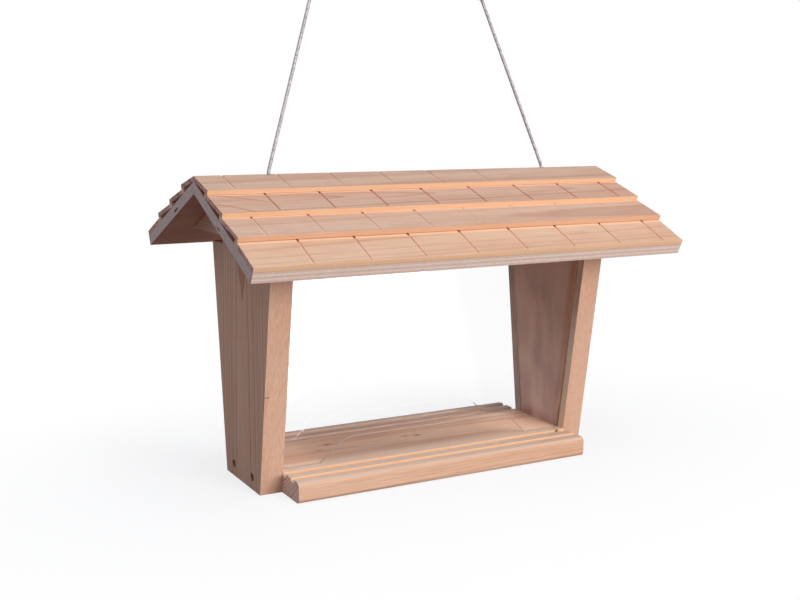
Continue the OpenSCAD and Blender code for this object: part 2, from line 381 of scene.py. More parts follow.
ALONG_X = (0, 0, 0)
ALONG_Y = (0, 0, math.pi / 2)
UPRIGHT = (0, -math.pi / 2, 0)


def growth_rings(finish, point, pith, spacing, wander, taper):
    """How far across its growth ring a point lies, and the ring's number, round a pith beside the board.

    wander is how far the rings stray, in millimetres, and taper how fast they widen along the board.
    """
    drift = finish.noise(point, (0.004, 0.018, 0.018), detail=2.0)
    ripple = finish.noise(point, (0.02, 0.14, 0.14), detail=1.0)
    along = finish.split(point)[0]
    radius = finish.length(finish.stretch(finish.shift(point, (0, *pith)), (0, 1, 1)))
    radius = radius + along * taper + (drift - 0.5) * wander + (ripple - 0.5) * (wander * 0.1)
    uneven = finish.noise(finish.vector(radius), (0.11, 1, 1), detail=1.0)
    count = radius / spacing + uneven * 3.0
    return count.part(), count.whole()


def late_wood(finish, across, ring):
    """How much of the dark late wood a point has: it builds up across a ring and ends sharply."""
    band = finish.ramp(across, (0.0, 0.2), (0.07, 0.0), (0.5, 0.03), (0.74, 0.25), (0.88, 1.0), (0.95, 0.9),
                       (1.0, 0.2))
    return band * (0.35 + 0.65 * finish.chance(ring))


# What the wood's colour is multiplied by: in its fibres, clouds, resin lines, fine lines and end grain
FIBRE, CLOUD, RESIN = rgb(243, 232, 224), rgb(247, 238, 232), rgb(214, 184, 166)
FINE_LINE = rgb(252, 248, 244)
END_PALE, END_DARK = rgb(254, 252, 255), rgb(196, 180, 178)


def pine(name, origin, turn, pith, spacing, early, late, wander=7.0, taper=0.0, depth=1.0, quiet=None,
         calm=None, cut=None, marks=None):
    """Planed pine: growth rings, fibres, resin lines and end grain.

    depth is how strongly the rings show, quiet is the direction of faces that show fine straight lines in
    their place, calm is half the width of a plain strip over the pith, cut is the colour of the end grain
    between its rings, and marks(finish, point, colour) may change the colour at the end.
    """
    finish = Finish(name)
    point = finish.on_board(origin, turn)
    across, ring = growth_rings(finish, point, pith, spacing, wander, taper)
    rings = late_wood(finish, across, ring) * depth
    end_rings = finish.step(across, 0.3, 0.75) * (1 - finish.step(across, 0.9, 1.0))
    end_rings = end_rings * (0.5 + 0.5 * finish.chance(ring))
    if calm:
        from_pith = abs(finish.split(point)[1] - pith[0])
        rings = rings * (0.2 + 0.8 * finish.step(from_pith, calm * 0.4, calm))
    if quiet:
        quiet_face = finish.step(abs(finish.facing(quiet)), 0.6, 0.9)
        rings = rings * (1 - quiet_face * 0.85)
    grain = tuple(Euler(turn).to_matrix() @ Vector((1, 0, 0)))
    cut_end = finish.step(abs(finish.facing(grain)), 0.82, 0.95)
    fine = finish.noise(point, (0.035, 1.5, 1.5), detail=4.0, roughness=0.6)
    cloud = finish.noise(point, (0.007, 0.035, 0.035), detail=2.0)
    resin = finish.step(finish.noise(point, (0.05, 1.1, 1.1), detail=1.0), 0.70, 0.80)
    colour = finish.mix(rings, early, late)
    if quiet:
        lines = finish.noise(point, (0.003, 0.1, 1.3), detail=1.0)
        colour = finish.tint(finish.step(lines, 0.38, 0.62) * quiet_face, colour, FINE_LINE)
    if cut:
        colour = finish.mix(cut_end * 0.9, colour, cut)
    colour = finish.tint(finish.step(cloud, 0.35, 0.7) * 0.8, colour, CLOUD)
    colour = finish.tint(finish.step(fine, 0.32, 0.68) * (1 - cut_end), colour, FIBRE)
    colour = finish.tint(resin * (1 - cut_end) * 0.6, colour, RESIN)
    colour = finish.tint(cut_end, colour, finish.mix(end_rings, END_PALE, END_DARK))
    if marks:
        colour = marks(finish, point, colour)
    rough = 0.68 - rings * 0.08 + (fine - 0.5) * 0.12 + cut_end * 0.12
    height = fine * 0.5 + rings * 0.5
    return finish.surface(Base_Color=colour, Roughness=rough, Normal=finish.bump(height, 0.05 * MM, 0.5),
                          Specular_IOR_Level=0.12)


def spot(finish, point, middle, reach, soft=0.5):
    """A mark round a middle point of a board: 1 inside it and 0 past its reach along each axis."""
    scaled = finish.stretch(finish.shift(point, middle), tuple(1 / r for r in reach))
    return 1 - finish.step(finish.length(scaled), 1 - soft, 1 + soft)


# End walls: the pith's place across and beside a wall, the ring spacing, the flame and the scratch
WALL_EARLY, WALL_LATE = rgb(226, 185, 159), rgb(170, 116, 96)
WALL_PITH_ACROSS, WALL_PITH_BESIDE = -2.5, 24
WALL_RING = 3.1
FLAME_TIP, FLAME_ACROSS = 155, -2.7
FLAME_WIDEN = 0.3
SCRATCH_UP, SCRATCH_IN = 87.2, 8

# The panes lean out by this much for each millimetre up, and a wall's lip in front of its groove starts here
PANE_LEAN, LIP_FROM = 0.13725, 30.1

# Heights between which painted shade on the right wall's inner face grows darker
INNER_SHADE_FROM, INNER_SHADE_TO = 10, 180


def shaded_screw_holes(finish, point, colour):
    """Darkens the wood round a wall's screws, as painted shade in their holes."""
    up, across, _ = finish.split(point)
    hole = finish.length(finish.vector(abs(across) - SCREW_ACROSS, up - SCREW_UP))
    hole = 1 - finish.step(hole, SCREW_HOLE_R - 0.3, SCREW_HOLE_R + 0.3)
    return finish.tint(hole, colour, rgb(178, 122, 100))


def left_wall_marks(finish, point, colour):
    """The flame of a resin pocket on the outer face, and a short scratch on the front edge."""
    colour = shaded_screw_holes(finish, point, colour)
    up, across, _ = finish.split(point)
    width = (up - FLAME_TIP).most(0.01) * FLAME_WIDEN
    waver = finish.noise(point, (0.05, 0.01, 0.01), detail=2.0) - 0.5
    inside = width - abs(across - FLAME_ACROSS + waver * 6)
    outer_face = finish.step(finish.facing((LEFT, 0, 0)), 0.5, 0.8)
    colour = finish.tint(finish.step(inside, -0.5, 2.0) * outer_face * 0.85, colour, rgb(216, 186, 174))
    at_edge = finish.stretch(point, (1, 0, 1))
    scratch = spot(finish, at_edge, (SCRATCH_UP, 0, SCRATCH_IN), (0.5, 1, 2.6))
    front_face = finish.step(finish.facing((0, -1, 0)), 0.5, 0.8)
    return finish.tint(scratch * front_face * 0.7, colour, rgb(150, 112, 96))


def right_wall_light_and_marks(finish, point, colour):
    """On the inner face: dull clouds between the panes as a painted reflection, painted shade deepening
    upwards, a lip in front of them painted paler, and a foot painted warm with bounced light.
    """
    colour = shaded_screw_holes(finish, point, colour)
    up, across, _ = finish.split(point)
    inner_face = finish.step(finish.facing((-RIGHT, 0, 0)), 0.5, 0.8)
    lip = finish.step(across * -1 - up * PANE_LEAN, LIP_FROM - 0.3, LIP_FROM + 0.3) * inner_face
    between = inner_face * (1 - lip)
    deeper_shade = finish.step(up, INNER_SHADE_FROM, INNER_SHADE_TO)
    haze = finish.noise(point, (0.02, 0.04, 0.04), detail=2.0)
    blotch = finish.noise(point, (0.022, 0.05, 0.05), detail=3.0)
    # Dull clouds over the inner face, a painted reflection of the pane; darker blotches after them.
    colour = finish.tint(finish.step(haze, 0.35, 0.62) * inner_face, colour, rgb(226, 206, 196))
    colour = finish.tint(finish.step(blotch, 0.5, 0.72) * inner_face, colour, rgb(206, 184, 174))
    # Painted shade between the panes: cool low down, darker and browner higher up under the roof.
    colour = finish.tint(between, colour, finish.mix(deeper_shade, rgb(226, 228, 232), rgb(182, 152, 140)))
    bloom = finish.mix(deeper_shade, rgb(217, 199, 200), rgb(180, 133, 103))
    colour = finish.mix(between * 0.3, colour, bloom)
    # The lip in front of the panes is painted paler, as painted light.
    colour = finish.mix(lip * (1 - finish.step(up, 90, 200)) * 0.8, colour, rgb(255, 226, 200))
    # The foot is painted warmer, as painted light bounced from the floor.
    foot = (1 - finish.step(up, 4, 26)) * inner_face
    return finish.tint(foot, colour, rgb(255, 232, 214))


def wall_finish(name, side):
    marks, depth = (left_wall_marks, 1.0) if side == LEFT else (right_wall_light_and_marks, 0.3)
    pith = (WALL_PITH_ACROSS, side * WALL_PITH_BESIDE)
    return pine(name, (side * WALL_MIDDLE * MM, 0, 0), UPRIGHT, pith, WALL_RING, WALL_EARLY, WALL_LATE,
                wander=3, taper=0.012, depth=depth, quiet=(0, 1, 0), calm=16, marks=marks)


# Floor board: its knots and two dark spots with their radii, and its two quirks' risers and the place where
# the nose starts to turn down, from the board's middle
FLOOR_EARLY, FLOOR_LATE = rgb(226, 186, 158), rgb(198, 148, 120)
FLOOR_PITH = (-15, 58)
FLOOR_RING = 2.2
KNOTS = [((-78.8, 15.3, 18), 1.9), ((-93.1, 1.8, 18), 1.1), ((-2, 5.9, 18), 1.3), ((9.6, 3.6, 18), 1.5)]
DARK_SPOTS = [((137.8, -43.5, 18), 2.6), ((139.5, -36, 18), 1.2)]
INNER_RISER, OUTER_RISER, NOSE_FROM = 41.5, 57, 69


def floor_marks(finish, point, colour):
    """Up faces painted cooler to the left, paler to the right and paler by the front moulding, painted shade
    on the rear moulded edge, the front moulding's flats in a tone of their own and its risers painted with a
    bright glow of light, pin knots in warm rings, and two dark spots by the right wall.
    """
    along, across, _ = finish.split(point)
    out = across * -1
    up_face = finish.step(finish.facing((0, 0, 1)), 0.5, 0.9)
    worked = finish.step(out, INNER_RISER - 0.5, INNER_RISER + 0.5)
    light_to_right = finish.step(along, -60, 130)
    # Painted light: up faces cooler and darker to the left, paler to the right, where the light falls from.
    colour = finish.tint(up_face, colour, finish.mix(light_to_right, rgb(222, 228, 236), rgb(252, 254, 255)))
    colour = finish.mix(up_face * light_to_right * 0.3, colour, rgb(226, 194, 174))
    # Painted shade on the rear moulded edge, under the roof.
    rear_shade = finish.step(out * -1, INNER_RISER - 6, INNER_RISER)
    colour = finish.tint(rear_shade, colour, rgb(208, 212, 220))
    streak = finish.step(finish.noise(point, (0.006, 0.09, 0.09), detail=2.0), 0.42, 0.62)
    colour = finish.tint(streak * up_face * (1 - worked), colour, rgb(238, 226, 218))
    # Painted front light: up faces grow paler and warmer towards the front moulding.
    near = finish.step(out, 14, INNER_RISER - 3)
    colour = finish.mix(up_face * near * 0.6, colour, rgb(248, 218, 196))
    colour = finish.mix(up_face * worked * 0.8, colour, rgb(212, 180, 158))
    # Painted light: the front moulding's risers that face the front glow bright orange.
    quirks = finish.step(out, INNER_RISER - 2, INNER_RISER - 1)
    quirks = quirks * (1 - finish.step(out, OUTER_RISER + 3, NOSE_FROM - 2))
    riser = finish.step(finish.facing((0, -1, 0)), 0.75, 0.95) * quirks
    colour = finish.mix(riser * 0.9, colour, rgb(252, 208, 164))
    for middle, radius in KNOTS:
        ring = spot(finish, point, middle, (radius * 3.4, radius * 1.6, 6), 0.6)
        colour = finish.tint(ring * 0.6, colour, rgb(226, 190, 168))
        heart = spot(finish, point, middle, (radius * 1.2, radius * 0.75, 6), 0.3)
        colour = finish.tint(heart, colour, rgb(176, 120, 96))
    # Two small dark spots by the right wall.
    for middle, radius in DARK_SPOTS:
        dark_spot = spot(finish, point, middle, (radius, radius, 4), 0.3)
        colour = finish.tint(dark_spot, colour, rgb(96, 58, 44))
    return colour


def floor_finish():
    return pine("floor_pine", (0, 0, 0), ALONG_X, FLOOR_PITH, FLOOR_RING, FLOOR_EARLY, FLOOR_LATE, wander=5,
                taper=0.008, depth=0.5, cut=rgb(248, 212, 190), marks=floor_marks)


# Roof bearers and gussets: the height that their grain is set out from, and the pith's place across and
# below that
BEARER_EARLY, BEARER_LATE = rgb(214, 172, 148), rgb(184, 136, 112)
BEARER_UP = 200
BEARER_PITH_ACROSS, BEARER_PITH_BELOW = -30, 60
BEARER_RING = 2.6


def bearer_finish(name, side):
    pith = (side * BEARER_PITH_ACROSS, BEARER_PITH_BELOW)
    return pine(name, (side * WALL_MIDDLE * MM, 0, BEARER_UP * MM), ALONG_Y, pith, BEARER_RING, BEARER_EARLY,
                BEARER_LATE)


# How each course is sawn: where its pith lies across and below it, its ring spacing and taper, its early and
# late wood, and the colour of its lower edge, its own warmer edge grain with a painted glow of light
SAWN = {
    1: {"pith": (9, -46), "spacing": 4.4, "taper": 0.012,
        "early": rgb(211, 179, 158), "late": rgb(180, 140, 120), "edge": rgb(238, 193, 153)},
    2: {"pith": (3, -7), "spacing": 3.4, "taper": 0.035,
        "early": rgb(212, 177, 156), "late": rgb(176, 132, 112), "edge": rgb(238, 193, 153)},
    3: {"pith": (-12, -38), "spacing": 4.2, "taper": -0.01,
        "early": rgb(215, 182, 160), "late": rgb(186, 142, 120), "edge": rgb(224, 175, 138)},
    4: {"pith": (16, -30), "spacing": 4.4, "taper": 0.014,
        "early": rgb(219, 185, 158), "late": rgb(194, 146, 118), "edge": rgb(238, 193, 153)}}

# The tint on the left-facing sides of each course's saw cuts, a painted shade with the cut wood's own hue,
# and how deep they are at their upper and lower ends, to the left and to the right of a place along the
# ridge. There the blade ran out of the first and third courses.
SAW_CUTS = {
    1: {"shade": rgb(255, 248, 244), "runs_out": 80, "left": (1.3, 0.35), "right": (0.3, 0.1)},
    2: {"shade": rgb(244, 216, 206), "runs_out": 300, "left": (1.2, 0.9), "right": (1.2, 0.9)},
    3: {"shade": rgb(255, 246, 240), "runs_out": 5, "left": (1.1, 0.4), "right": (1.1, 0.1)},
    4: {"shade": rgb(250, 228, 216), "runs_out": 300, "left": (1.1, 0.7), "right": (1.1, 0.7)}}

# Two broad rings on the front second course: where each starts below the course above, its slant and bend
# along the board, and half its width. They fade out between two places from the left end.
HEART_LINES = ((0, 0.2, 0.0035, 2.2), (18.6, 0.15, 0.015, 3.0))
HEART_FADES, HEART_ENDS = 34, 54


def heart_lines(finish, colour, past, face):
    """Two broad rings that run out of a board by its left end, where the saw went past the tree's heart."""
    along = finish.split(finish.place())[0] / MM + HALF_ROOF
    for start, slant, bend, half in HEART_LINES:
        off_line = abs(past - (start + along * slant + along * along * bend))
        line = (1 - finish.step(off_line, half * 0.1, half)) * face
        line = line * (1 - finish.step(along, HEART_FADES, HEART_ENDS))
        colour = finish.tint(line * 0.8, colour, rgb(232, 214, 200))
    return colour


def cut_side(finish, way):
    """The sloping sides of the saw cuts that look left or right, but not a board's upright ends."""
    facing = finish.facing((way, 0, 0))
    return finish.step(facing, 0.15, 0.4) * (1 - finish.step(facing, 0.85, 0.93))


def tile_finish(name, word, slope, number):
    """A tile board: its lower edge is warmer than its face, its own edge grain with a painted glow, and the
    strip below the board above is painted warmer with bounced light.
    """
    sawn = SAWN[number]
    down = (0, slope * math.cos(PITCH), -math.sin(PITCH))
    covered = number > 1
    upper_edge = 0
    if covered:
        low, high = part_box(f"{word}_course_{number - 1}")
        upper_edge = max(abs(low.y), abs(high.y)) / MM - BOARD_T * math.sin(PITCH)

    def marks(finish, point, colour):
        """Edge with a painted glow, a strip painted with bounced light, painted light and shade on the two
        sides of the cuts, painted shade at their mouths, and heart lines on one board.
        """
        # The lower edge is its own warmer edge grain, with a painted glow of the front light on it.
        edge = finish.step(finish.facing(down), 0.5, 0.85)
        streaks = finish.noise(point, (0.02, 0.6, 0.6), detail=3.0)
        streaks = finish.mix(streaks, rgb(255, 255, 255), rgb(244, 230, 218))
        colour = finish.mix(edge * 0.85, colour, finish.tint(1.0, sawn["edge"], streaks))
        past = finish.split(finish.place())[1] * (slope / MM) - upper_edge
        shaded, lit = cut_side(finish, LEFT), cut_side(finish, RIGHT)
        if covered:
            # Painted light bounced off the edge above, on a strip just below the board above.
            band = (1 - finish.step(past, 1.0, 4.0)) * (1 - edge) * (1 - shaded)
            colour = finish.mix(band * 0.6, colour, rgb(250, 204, 168))
        # Painted light on the cut sides that face right, and painted shade on those that face left.
        colour = finish.mix(lit * 0.6, colour, rgb(242, 216, 196))
        colour = finish.tint(shaded, colour, SAW_CUTS[number]["shade"])
        if covered:
            # Painted shade where the cuts run in under the board above.
            lap_shade = (shaded + lit) * (1 - finish.step(past, 0.8, 1.8))
            colour = finish.tint(lap_shade, colour, rgb(190, 156, 142))
        if number == 2 and slope == FRONT:
            colour = heart_lines(finish, colour, past, 1 - edge)
        return colour

    turn = (slope * -PITCH, 0, 0 if slope == FRONT else math.pi)
    return pine(name, tuple(middle_of(name)), turn, sawn["pith"], sawn["spacing"], sawn["early"],
                sawn["late"], wander=3, taper=sawn["taper"], depth=0.6, cut=rgb(222, 176, 156), marks=marks)


def set_cuts(board, node, number):
    """Raises the floor of a board's vee cuts to the depth that each end of them has."""
    face = max(board.data.polygons, key=lambda polygon: polygon.area * polygon.normal.z)
    up, level = face.normal.copy(), face.center.copy()
    middle = middle_of(node)
    cuts = SAW_CUTS[number]
    for part, way in SIDES.items():
        for deep, end in zip(cuts[part], (1, -1)):
            pick(board)
            bpy.ops.object.mode_set(mode="EDIT")
            bpy.ops.mesh.select_mode(type="VERT")
            bpy.ops.mesh.select_all(action="DESELECT")
            bpy.ops.object.mode_set(mode="OBJECT")
            for vertex in board.data.vertices:
                below = (level - vertex.co).dot(up) / MM
                on_floor = abs(below - CUT_DEEP) < CUT_WITHIN
                here = (vertex.co.x / MM - cuts["runs_out"]) * way > 0
                vertex.select = on_floor and here and (vertex.co.z - middle.z) * end > 0
            bpy.ops.object.mode_set(mode="EDIT")
            bpy.ops.transform.translate(value=up * ((CUT_DEEP - deep) * MM))
            bpy.ops.object.mode_set(mode="OBJECT")


# A gap in the core of each panel, where it shows on the left gable edge: its middle along the ridge, across
# the slope and off the panel, and its reach each way
CORE_GAPS = {FRONT: ((-205.5, -65.2, -6.8), (3, 3.4, 0.7)), REAR: ((-205.5, 54.1, -5.7), (3, 5.6, 1.2))}


def plywood_finish(name, slope):
    """Plies that take turns, pale and darker on the edges, and a reddish brown veneer on the faces."""
    finish = Finish(name)
    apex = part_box("front_roof_panel")[1].z
    point = finish.on_board((0, 0, apex), (slope * -PITCH, 0, 0))
    up = finish.split(point)[2]
    waver = finish.noise(point, (0.03, 0.03, 0.5), detail=2.0)
    layer = (up * -1 + (waver - 0.5) * 0.4) / (PLY_T / PLIES)
    ply = layer.part()
    odd = (layer.whole() * 0.5).part() * 2
    glue = finish.ramp(ply, (0.0, 0.5), (0.12, 0.1), (0.5, 0.0), (0.88, 0.1), (1.0, 0.6))
    fine = finish.noise(point, (0.35, 0.35, 3.0), detail=4.0, roughness=0.65)
    gable = finish.step(abs(finish.facing((1, 0, 0))), 0.5, 0.8)
    edge = finish.mix(odd, rgb(222, 195, 180), rgb(236, 214, 199))
    edge = finish.tint(glue * 0.5, edge, rgb(216, 188, 174))
    edge = finish.mix(gable * 0.7, edge, rgb(222, 199, 192))
    fleck = finish.noise(point, (0.5, 0.5, 0.9), detail=3.0, roughness=0.6)
    edge = finish.tint(finish.step(fleck, 0.42, 0.58) * gable, edge, rgb(228, 222, 222))
    edge = finish.tint(finish.step(fine, 0.3, 0.75), edge, rgb(234, 222, 216))
    split = finish.step(finish.noise(point, (0.012, 0.012, 0.2), detail=1.0), 0.74, 0.78)
    gap = (1 - finish.step(abs(ply - 0.5), 0.1, 0.35)) * split * finish.step(odd, 0.4, 0.6)
    edge = finish.tint(gap, edge, rgb(110, 74, 66))
    edge = finish.tint(spot(finish, point, *CORE_GAPS[slope], 0.4), edge, rgb(86, 50, 42))
    streaks = finish.noise(point, (0.02, 1.1, 1.1), detail=4.0, roughness=0.6)
    cloud = finish.noise(point, (0.01, 0.03, 0.03), detail=2.0)
    face = finish.mix(finish.step(streaks, 0.3, 0.75), rgb(176, 120, 98), rgb(150, 98, 80))
    face = finish.tint(finish.step(cloud, 0.3, 0.7) * 0.6, face, rgb(220, 204, 196))
    flat = finish.step(abs(finish.facing((0, slope * math.sin(PITCH), math.cos(PITCH)))), 0.8, 0.95)
    colour = finish.mix(flat, edge, face)
    height = fine * 0.4 - glue * 0.3 + streaks * 0.3
    return finish.surface(Base_Color=colour, Roughness=0.68 + (fine - 0.5) * 0.15,
                          Normal=finish.bump(height, 0.08 * MM, 0.5), Specular_IOR_Level=0.12)


# Clear sheet

# How much each pane's sawn edge hides of what is behind it: where it faces right, and elsewhere
EDGE_COVER = {"front": (0.8, 1.0), "rear": (0.5, 0.05)}

# Faces as near as this to the sheet's own direction are its clear faces
CLEAR_WITHIN = 0.9


def clear_finish():
    """Clear sheet: glass that lets the lamps' light through."""
    finish = Finish("clear_acrylic")
    haze = finish.noise(finish.place(), (30, 30, 30), detail=2.0)
    glass = finish.node("ShaderNodeBsdfPrincipled", {}, {
        "Base Color": (1, 1, 1, 1), "Roughness": 0.01 + haze * 0.02, "IOR": 1.3, "Transmission Weight": 1.0})
    open_way = finish.node("ShaderNodeBsdfTransparent", {}, {"Color": (1, 1, 1, 1)})
    shadow = finish.node("ShaderNodeLightPath", {}, {}, "Is Shadow Ray")
    return finish.end(finish.node("ShaderNodeMixShader", {}, {0: shadow, 1: glass, 2: open_way}))


def sawn_sheet_finish(name, cover):
    """The sheet's sawn and scraped edge, painted in the brownish tones of the wood around it as a painted
    reflection.
    """
    finish = Finish(name)
    grit = finish.noise(finish.place(), (900, 900, 2500), detail=3.0)
    flank = finish.step(finish.facing((1, 0, 0)), 0.15, 0.55)
    return finish.surface(Base_Color=finish.mix(grit, rgb(160, 138, 126), rgb(182, 160, 148)),
                          Alpha=cover[1] + flank * (cover[0] - cover[1]), Roughness=0.5,
                          Normal=finish.bump(grit, 0.03 * MM, 0.5))


# Metals

def metal_finish(name, colour, dull, rough, metal=1.0):
    """Metal with a faint bloom and fine scratches."""
    finish = Finish(name)
    point = finish.place()
    bloom = finish.noise(point, (350, 350, 350), detail=3.0)
    grit = finish.noise(point, (2600, 2600, 900), detail=2.0)
    shade = finish.mix(finish.step(bloom, 0.35, 0.7), colour, dull)
    return finish.surface(Base_Color=shade, Metallic=metal, Roughness=rough + (bloom - 0.5) * 0.2,
                          Normal=finish.bump(grit, 0.02 * MM, 0.5))


# Cords

# The right strand's route from inside its hole in the ridge, in metres from where it starts
STRAND = [
    (0, 0, 0), (0, 0, 0.0045), (0, 0, 0.009), (-0.0001, 0.0001, 0.011), (-0.0005, 0.0002, 0.013),
    (-0.0011, 0.0006, 0.015), (-0.0032, 0.0017, 0.021), (-0.0053, 0.0028, 0.027), (-0.0074, 0.0039, 0.033),
    (-0.0095, 0.005, 0.039), (-0.0116, 0.0061, 0.045), (-0.0137, 0.0072, 0.051), (-0.0158, 0.0083, 0.057),
    (-0.0179, 0.0094, 0.063), (-0.02, 0.0105, 0.069), (-0.0221, 0.0116, 0.075), (-0.0242, 0.0127, 0.081),
    (-0.0263, 0.0138, 0.087), (-0.0284, 0.0149, 0.093), (-0.0305, 0.016, 0.099), (-0.0326, 0.0171, 0.105),
    (-0.0347, 0.0182, 0.111), (-0.0368, 0.0193, 0.117), (-0.0389, 0.0204, 0.123), (-0.041, 0.0215, 0.129),
    (-0.0431, 0.0226, 0.135), (-0.0452, 0.0237, 0.141), (-0.0473, 0.0248, 0.147), (-0.0494, 0.0259, 0.153),
    (-0.0515, 0.027, 0.159), (-0.0536, 0.0281, 0.165)]

CORD_D = 3 * MM
LAY_LENGTH = 17 * MM
CORD_STEP, EYE_STEP = 1.2 * MM, 0.8 * MM
FERRULE_L = 9 * MM
EYE_LOOP_R, HANG_LOOP_R = 4 * MM, 9 * MM
LOOP_LEAN = math.radians(14)
LOOP_HALF = CORD_D / 2 + 0.1 * MM
LOOP_STEPS = 28

# The cord's outer wires, the points on each, how deep the furrows between them are, and how round a wire is
WIRES = 8
WIRE_POINTS = 4
FURROW = CORD_D * 0.096
WIRE_ROUND = 1.8


def wire_bundle():
    """The section of a stranded cord: outer wires round a core, as a flat closed curve."""
    bpy.ops.curve.primitive_bezier_circle_add(radius=CORD_D / 2)
    section = bpy.context.object
    section.name = "cord_section"
    section.data.splines.remove(section.data.splines[0])
    spline = section.data.splines.new("POLY")
    steps = WIRES * WIRE_POINTS
    spline.points.add(steps - 1)
    for k in range(steps):
        turn = 2 * math.pi * k / steps
        within = (k / WIRE_POINTS) % 1 - 0.5
        radius = CORD_D / 2 - FURROW * (1 - math.sqrt(1 - (WIRE_ROUND * within) ** 2))
        spline.points[k].co = (radius * math.cos(turn), radius * math.sin(turn), 0, 1)
    spline.use_cyclic_u = True
    return section


def even_points(route, step):
    """Points along a route of straight stretches, no further apart than a step."""
    points = [Vector(route[0])]
    for start, end in zip(route, route[1:]):
        start, end = Vector(start), Vector(end)
        parts = max(1, math.ceil((end - start).length / step))
        points += [start.lerp(end, (k + 1) / parts) for k in range(parts)]
    return points


def twisted_cord(name, route, section, step=CORD_STEP):
    """A stranded cord swept along a route, with a twist of one turn in each lay length."""
    points = even_points(route, step)
    curve = bpy.data.curves.new(name, "CURVE")
    curve.dimensions = "3D"
    curve.twist_mode = "MINIMUM"
    curve.bevel_mode = "OBJECT"
    curve.bevel_object = section
    curve.use_fill_caps = True
    spline = curve.splines.new("POLY")
    spline.points.add(len(points) - 1)
    far = 0.0
    for k, point in enumerate(points):
        if k:
            far += (point - points[k - 1]).length
        spline.points[k].co = (*point, 1)
        spline.points[k].tilt = 2 * math.pi * far / LAY_LENGTH
    made = bpy.data.objects.new(name, curve)
    bpy.context.collection.objects.link(made)
    pick(made)
    bpy.ops.object.convert(target="MESH")
    made = bpy.context.object
    bpy.ops.object.mode_set(mode="EDIT")
    bpy.ops.mesh.select_all(action="SELECT")
    bpy.ops.mesh.remove_doubles(threshold=MERGE_GAP)
    bpy.ops.mesh.normals_make_consistent(inside=False)
    bpy.ops.object.mode_set(mode="OBJECT")
    smooth(made, 60)
    return made


def loop_top(radius):
    """Height of a cord loop from its centre to the sleeve."""
    leg = (radius * math.cos(LOOP_LEAN) - LOOP_HALF) / math.tan(LOOP_LEAN)
    return radius * math.sin(LOOP_LEAN) + leg + CORD_D


def loop_route(radius):
    """A cord loop in its own X-Z plane: down one leg, round under its centre and up the other."""
    top = loop_top(radius)
    sweep = math.pi + 2 * LOOP_LEAN
    turns = [math.pi - LOOP_LEAN + sweep * k / LOOP_STEPS for k in range(LOOP_STEPS + 1)]
    bow = [Vector((radius * math.cos(a), 0, radius * math.sin(a))) for a in turns]
    legs = [Vector((LOOP_HALF, 0, top - CORD_D)), Vector((LOOP_HALF, 0, top))]
    return [Vector((-p.x, 0, p.z)) for p in reversed(legs)] + bow + legs


def strand_route(word, side):
    """The strand's points in the frame of the whole feeder."""
    low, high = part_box(f"{word}_cord_riser")
    start = Vector(((low.x + high.x) / 2, 0, high.z))
    return [start + Vector((-p[0] if side == LEFT else p[0], p[1], p[2])) for p in STRAND]


def pressed_sleeve(node, sleeve_metal):
    """A ferrule with its mouths rounded."""
    made = copy_node(node)
    bevel(made, SLEEVE_EASE, 2, 50)
    smooth(made, 40)
    return dress(made, sleeve_metal, "base", "sleeve_metal", node)


def add_strand(word, side, section, cord_metal, sleeve_metal):
    """The cord above the ridge, and the sleeve and loop at its end."""
    route = strand_route(word, side)
    strand = twisted_cord(f"{word}_cord_strand_finish", route, section)
    dress(strand, cord_metal, "base", "steel_cord", f"{word}_cord_strand")
    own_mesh(strand)

    along = (route[-1] - route[-2]).normalized()
    out = Matrix.Translation(route[-1]) @ Matrix.Rotation(math.atan2(along.y, along.x), 4, "Z")
    out = out @ Matrix.Rotation(math.acos(along.z), 4, "Y")
    crown = FERRULE_L + loop_top(HANG_LOOP_R)
    hang = [out @ Vector((p.x, p.y, crown - p.z)) for p in loop_route(HANG_LOOP_R)]
    hang_loop = twisted_cord(f"{word}_hang_loop_finish", hang, section)
    dress(hang_loop, cord_metal, "base", "steel_cord", f"{word}_hang_loop")
    sleeve = pressed_sleeve(f"{word}_hang_ferrule", sleeve_metal)


def add_riser(word, section, cord_metal):
    """The cord between a wall and the roof."""
    low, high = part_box(f"{word}_cord_riser")
    middle = (low + high) / 2
    foot, top = (middle.x, middle.y, low.z), (middle.x, middle.y, high.z)
    riser = twisted_cord(f"{word}_cord_riser_finish", [foot, top], section)
    riser.data.materials.append(cord_metal)
    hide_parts(f"{word}_cord_riser")
    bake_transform(riser)


def add_eye_loop(word, section, cord_metal):
    """The small loop that holds a cord in its screw eye, straight below the riser."""
    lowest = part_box(f"{word}_eye_loop")[0].z
    centre = Vector((middle_of(f"{word}_cord_riser").x, 0, lowest + EYE_LOOP_R + CORD_D / 2))
    route = [centre + Vector((0, p.x, p.z)) for p in loop_route(EYE_LOOP_R)]
    eye_loop = twisted_cord(f"{word}_eye_loop_finish", route, section, EYE_STEP)
    dress(eye_loop, cord_metal, "base", "steel_cord", f"{word}_eye_loop")


def add_cords():
    cord_metal = metal_finish("steel_cord", rgb(178, 170, 170), rgb(140, 132, 134), 0.5, 0.35)
    sleeve_metal = metal_finish("pressed_sleeve", rgb(204, 206, 210), rgb(172, 174, 180), 0.3)
    section = wire_bundle()
    for word, side in SIDES.items():
        add_strand(word, side, section, cord_metal, sleeve_metal)
        add_riser(word, section, cord_metal)
        add_eye_loop(word, section, cord_metal)
        pressed_sleeve(f"{word}_eye_ferrule", sleeve_metal)
    bpy.data.objects.remove(section)


# Pieces

def ease(obj, edge, segments):
    """Eases a wooden piece's sharp edges."""
    bevel(obj, edge, segments)
    smooth(obj, 60)
    keep_flat(obj)


def planed(node, body, slot, wood, edge, segments=2):
    """A wooden piece with its sharp edges eased."""
    made = copy_node(node)
    ease(made, edge, segments)
    return dress(made, wood, body, slot, node)


